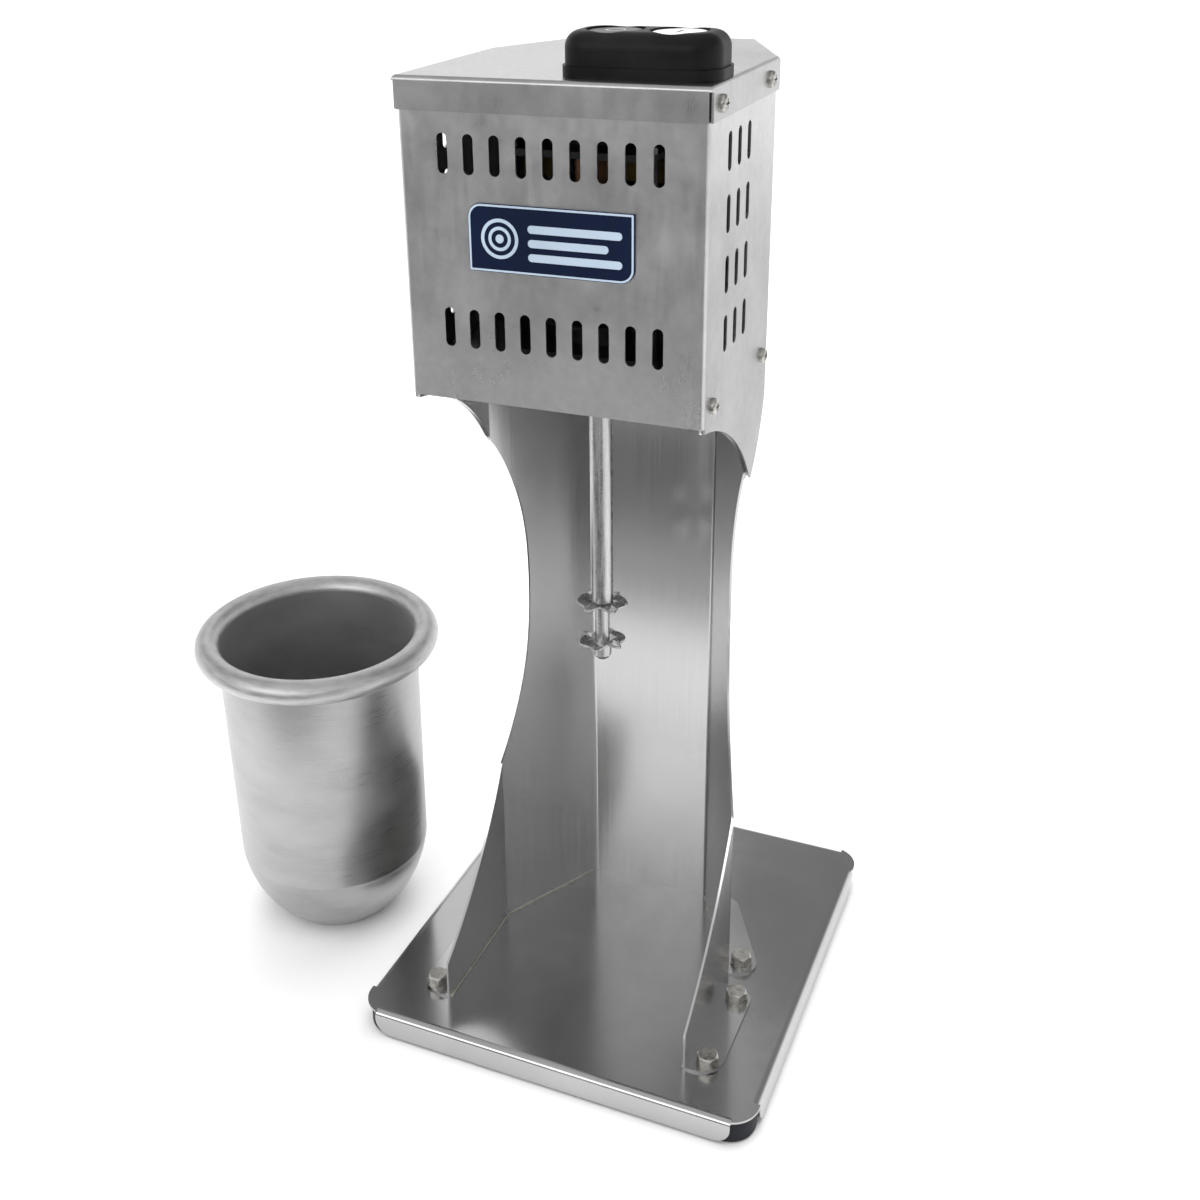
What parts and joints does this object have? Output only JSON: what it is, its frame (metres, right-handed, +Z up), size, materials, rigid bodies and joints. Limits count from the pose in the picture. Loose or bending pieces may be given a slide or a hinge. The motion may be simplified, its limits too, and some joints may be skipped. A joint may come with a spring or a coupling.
{
  "type": "milkshake mixer",
  "caption": "Counter-top milkshake mixer: motor head with push-button switch on a folded steel column over a footed base, stirring spindle with wavy discs, and a loose metal cup.",
  "frame": {"origin": "centre of the base's footprint, on the plane that the four feet stand on", "axes": "+Z up; the open front of the cup bay faces -Y; +X is the right-hand side seen from the front"},
  "size_m": [0.3558, 0.232, 0.518],
  "materials": {
    "satin_steel": "fine satin, slightly mottled",
    "polished_steel": "bright polished sheet with soft reflections",
    "column_steel": "satin sheet, brushed along its height",
    "bolt_steel": "zinc plated, slightly dulled",
    "machined_steel": "turned and polished",
    "rubber_black": "matt moulded rubber",
    "switch_rubber": "smooth moulded rubber",
    "switch_plastic": "moulded nylon",
    "button_white": "glossy moulded cap",
    "button_grey": "glossy moulded cap",
    "badge_enamel": "navy enamel with a pale border",
    "plate_aluminium": "anodised, blank",
    "gland_nylon": "moulded nylon",
    "cast_aluminium": "pressure die cast",
    "lamination_steel": "stacked electrical steel",
    "copper_winding": "varnished enamelled wire",
    "commutator_copper": "turned copper bars",
    "carbon": "pressed carbon",
    "brass": "stamped brass",
    "fan_nylon": "moulded nylon",
    "bearing_steel": "ground",
    "spring_steel": "drawn wire",
    "capacitor_plastic": "moulded case",
    "terminal_plastic": "moulded nylon",
    "cup_aluminium": "spun, finely brushed round"
  },
  "bodies": {
    "frame": {"base_plate": "polished_steel", "foot_front_left": "rubber_black", "foot_front_right": "rubber_black", "foot_rear_left": "rubber_black", "foot_rear_right": "rubber_black", "column_sheet": "column_steel", "column_bolts": "bolt_steel", "column_washers": "bolt_steel", "column_nuts": "bolt_steel", "head_cover": "satin_steel", "head_rear_panel": "satin_steel", "side_screws": "bolt_steel", "lid": "satin_steel", "lid_screws": "bolt_steel", "badge_plate": "badge_enamel", "rating_plate": "plate_aluminium", "cable_gland": "gland_nylon", "gland_nut": "gland_nylon", "switch_gasket": "switch_rubber", "switch_boot": "switch_rubber", "switch_block": "switch_plastic", "switch_terminals": "brass", "stop_spring": "spring_steel", "start_spring": "spring_steel", "motor_plate": "satin_steel", "lower_bracket": "cast_aluminium", "upper_bracket": "cast_aluminium", "lower_bearing": "bearing_steel", "upper_bearing": "bearing_steel", "stator_core": "lamination_steel", "front_field_coil": "copper_winding", "rear_field_coil": "copper_winding", "motor_bolts": "bolt_steel", "motor_nuts": "bolt_steel", "left_brush_holder": "brass", "right_brush_holder": "brass", "left_brush": "carbon", "right_brush": "carbon", "terminal_block": "terminal_plastic", "suppression_capacitor": "capacitor_plastic"},
    "spindle": {"motor_shaft": "machined_steel", "armature_core": "lamination_steel", "armature_windings": "copper_winding", "commutator": "commutator_copper", "cooling_fan": "fan_nylon", "shaft_coupling": "machined_steel", "coupling_screws": "bolt_steel", "agitator_shaft": "machined_steel", "upper_agitator_disc": "machined_steel", "disc_spacer": "machined_steel", "disc_washer": "machined_steel", "lower_agitator_disc": "machined_steel", "agitator_screw": "machined_steel"},
    "start_button": {"start_button": "button_white"},
    "stop_button": {"stop_button": "button_grey"},
    "cup": {"cup": "cup_aluminium"}
  },
  "joints": [
    {"name": "spindle_spin", "type": "hinge", "parent": "frame", "child": "spindle", "pos_m": [0, -0.0315, 0.3], "axis": [0, 0, 1], "continuous": true},
    {"name": "start_press", "type": "slide", "parent": "frame", "child": "start_button", "axis": [0, 0, -1], "range_m": [0, 0.0025], "stiffness_N_per_m": 400, "springref_m": -0.003, "deforming": ["start_spring"]},
    {"name": "stop_press", "type": "slide", "parent": "frame", "child": "stop_button", "axis": [0, 0, -1], "range_m": [0, 0.0025], "stiffness_N_per_m": 400, "springref_m": -0.003, "deforming": ["stop_spring"]},
    {"name": "cup_lift", "type": "slide", "parent": "frame", "child": "cup", "axis": [0, 0, 1], "range_m": [0, 0.2]}
  ]
}
